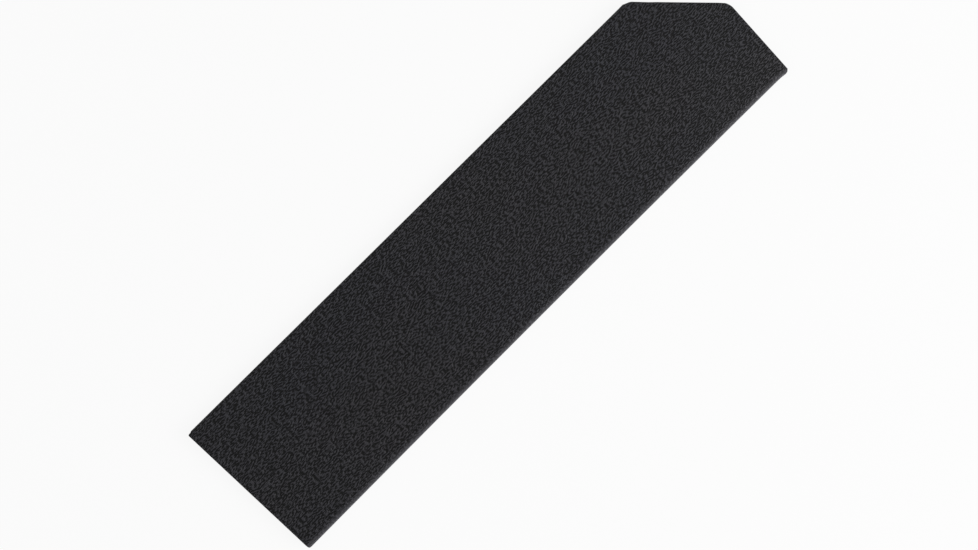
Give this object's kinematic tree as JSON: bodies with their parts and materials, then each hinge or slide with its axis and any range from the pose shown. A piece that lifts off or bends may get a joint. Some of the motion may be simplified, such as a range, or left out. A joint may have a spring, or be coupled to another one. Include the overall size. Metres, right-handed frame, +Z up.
{
  "type": "knife blade guard",
  "caption": "Folded knife blade guard: leather-grain plastic sheet with a felt lining, open along the spine side, with a sloped corner at the tip.",
  "frame": {"origin": "middle of the guard's footprint, on the surface that the lower leaf lies on", "axes": "+X from the heel end to the tip end, +Y from the fold to the open edge, +Z up through both leaves"},
  "size_m": [0.216, 0.0522, 0.0042],
  "materials": {
    "grained_plastic": "satin leather grain",
    "felt": "matte felt",
    "adhesive_film": "clear adhesive film"
  },
  "bodies": {
    "back_leaf": {"shell_back_leaf": "grained_plastic", "shell_fold": "grained_plastic", "felt_back_leaf": "felt", "felt_fold": "felt", "adhesive_back": "adhesive_film"},
    "front_leaf": {"shell_front_leaf": "grained_plastic", "felt_front_leaf": "felt", "adhesive_front": "adhesive_film"}
  },
  "joints": [
    {"name": "leaf_opening", "type": "hinge", "parent": "back_leaf", "child": "front_leaf", "pos_m": [0, -0.02405, 0.0021], "axis": [1, 0, 0], "range_deg": [0, 30], "stiffness_Nm_per_rad": 0.6, "springref_deg": -8.59, "deforming": ["shell_fold", "felt_fold"]}
  ]
}
